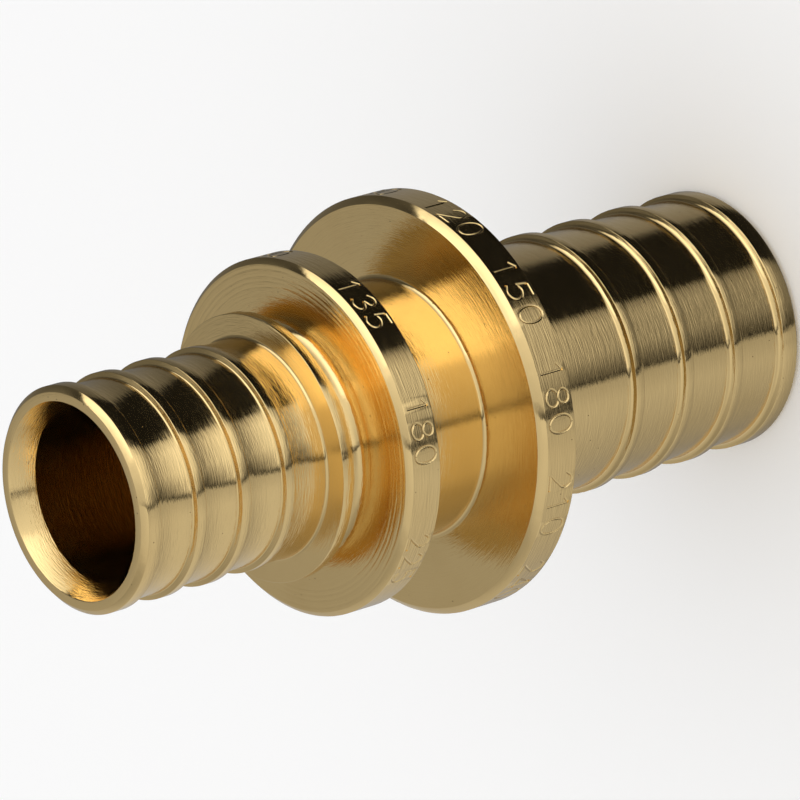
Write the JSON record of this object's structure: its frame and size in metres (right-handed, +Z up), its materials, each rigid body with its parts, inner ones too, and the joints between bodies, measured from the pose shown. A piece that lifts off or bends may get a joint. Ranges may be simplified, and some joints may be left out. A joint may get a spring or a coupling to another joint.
{
  "type": "reducing coupling",
  "caption": "Turned brass reducing coupling for sliding-sleeve plastic pipe: a ribbed spigot at each end, two sleeve-stop collars with a tool groove between them, and a stepped through bore.",
  "frame": {"origin": "centre of the large end face, which the part stands on", "axes": "+Z up along the bore axis, from the large pipe end to the small pipe end; turned all round, so X and Y are free"},
  "size_m": [0.0348, 0.0348, 0.0685],
  "materials": {
    "brass": "bright turned brass with fine lathe marks, unplated"
  },
  "bodies": {
    "root": {"coupling_body": "brass"}
  },
  "joints": []
}
